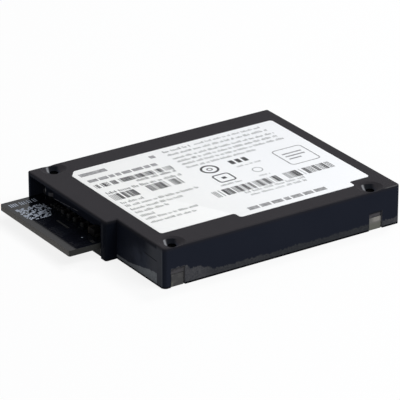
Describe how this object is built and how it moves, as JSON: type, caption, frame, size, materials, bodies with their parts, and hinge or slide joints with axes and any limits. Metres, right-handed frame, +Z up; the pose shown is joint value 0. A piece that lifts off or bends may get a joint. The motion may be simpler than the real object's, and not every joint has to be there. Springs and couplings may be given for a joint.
{
  "type": "raid battery module",
  "caption": "Flat raid battery module with a stepped black case, a white label, recessed screw columns and a board tongue that plugs into a controller card.",
  "frame": {"origin": "middle of the module's bounding box in plan, at the underside of the case", "axes": "+X along the case away from the board tongue, +Y across the case towards the back edge, +Z up towards the label"},
  "size_m": [0.0844, 0.0598, 0.0111],
  "materials": {
    "housing_plastic": "fine matt moulding on top, satin on the walls",
    "cover_plastic": "satin",
    "sleeve_nylon": "natural nylon",
    "label_film": "smooth white film with grey print",
    "board_laminate": "glossy black solder mask",
    "connector_moulding": "satin",
    "contact_metal": "gold flash",
    "cell_foil": "satin foil",
    "tab_nickel": "satin",
    "pad_foam": "open foam",
    "chip_moulding": "matt epoxy",
    "lead_tin": "tin plate",
    "inductor_ferrite": "matt ferrite",
    "fuse_ceramic": "matt",
    "shunt_coating": "satin",
    "tantalum_moulding": "satin epoxy",
    "capacitor_ceramic": "satin",
    "resistor_ceramic": "glazed top",
    "thermistor_epoxy": "glossy"
  },
  "bodies": {
    "root": {"housing": "housing_plastic", "base_cover": "cover_plastic", "mounting_spacers": "sleeve_nylon", "face_label": "label_film", "circuit_board": "board_laminate", "board_connector": "connector_moulding", "connector_contacts": "contact_metal", "cell": "cell_foil", "positive_tab": "tab_nickel", "negative_tab": "tab_nickel", "upper_cell_pad": "pad_foam", "lower_cell_pad": "pad_foam", "gauge_chip": "chip_moulding", "gauge_chip_leads": "lead_tin", "charger_chip": "chip_moulding", "memory_chip": "chip_moulding", "memory_chip_leads": "lead_tin", "switch_transistors": "chip_moulding", "transistor_leads": "lead_tin", "power_inductor": "inductor_ferrite", "fuse_block": "fuse_ceramic", "sense_resistor": "shunt_coating", "tantalum_capacitors": "tantalum_moulding", "ceramic_capacitors": "capacitor_ceramic", "chip_resistors": "resistor_ceramic", "diodes": "chip_moulding", "thermistor": "thermistor_epoxy"}
  },
  "joints": []
}
